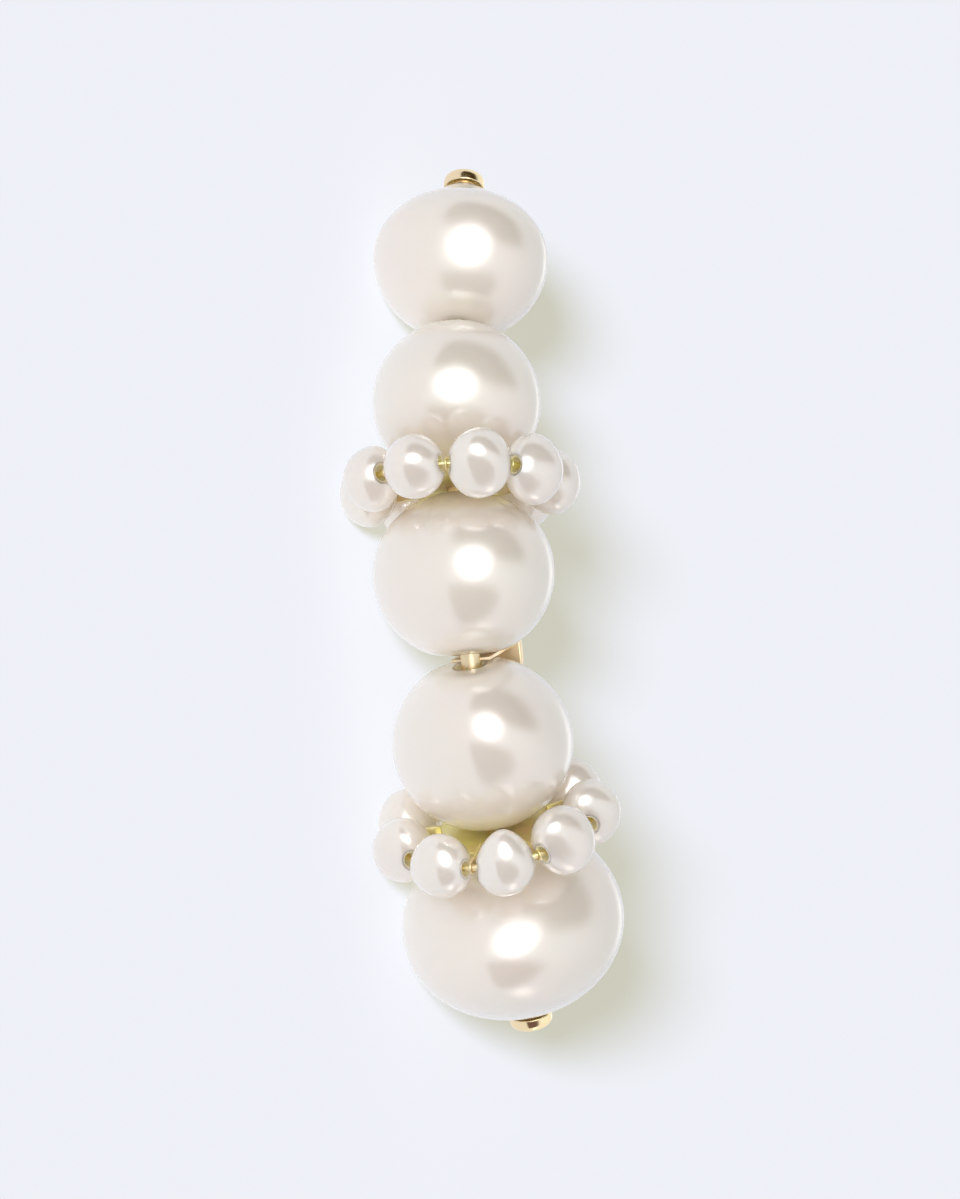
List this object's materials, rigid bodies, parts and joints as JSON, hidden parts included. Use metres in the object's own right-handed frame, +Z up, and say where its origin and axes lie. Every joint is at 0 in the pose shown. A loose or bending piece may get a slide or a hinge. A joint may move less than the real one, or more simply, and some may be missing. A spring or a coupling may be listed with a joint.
{
  "type": "pearl ear climber",
  "caption": "Curved row of drilled pearls on a gold wire, with rings of small pearls, domed end caps and a straight ear post behind.",
  "frame": {"origin": "middle of the bounding box, on the surface that the climber lies on", "axes": "+X along the climber from its small upper end to its large lower end, +Y from the pearls towards the ear, +Z up from the surface. The climber lies on its side, touching with a small pearl of each ring and with pearl 1"},
  "size_m": [0.035, 0.0176, 0.01],
  "materials": {
    "pearl": "soft pearly lustre, creamy white with faint pink",
    "small_pearl": "pearly lustre, creamy white, a little darker",
    "gold": "polished yellow gold"
  },
  "bodies": {
    "root": {"ear_frame": "gold", "pearl_1": "pearl", "pearl_2": "pearl", "pearl_3": "pearl", "pearl_4": "pearl", "pearl_5": "pearl", "end_cap_top": "gold", "end_cap_bottom": "gold", "ring_1_mount": "gold", "ring_2_mount": "gold", "ring_1_pearl_1": "small_pearl", "ring_1_pearl_2": "small_pearl", "ring_1_pearl_3": "small_pearl", "ring_1_pearl_4": "small_pearl", "ring_1_pearl_5": "small_pearl", "ring_1_pearl_6": "small_pearl", "ring_1_pearl_7": "small_pearl", "ring_1_pearl_8": "small_pearl", "ring_1_pearl_9": "small_pearl", "ring_2_pearl_1": "small_pearl", "ring_2_pearl_2": "small_pearl", "ring_2_pearl_3": "small_pearl", "ring_2_pearl_4": "small_pearl", "ring_2_pearl_5": "small_pearl", "ring_2_pearl_6": "small_pearl", "ring_2_pearl_7": "small_pearl", "ring_2_pearl_8": "small_pearl", "ring_2_pearl_9": "small_pearl"}
  },
  "joints": []
}
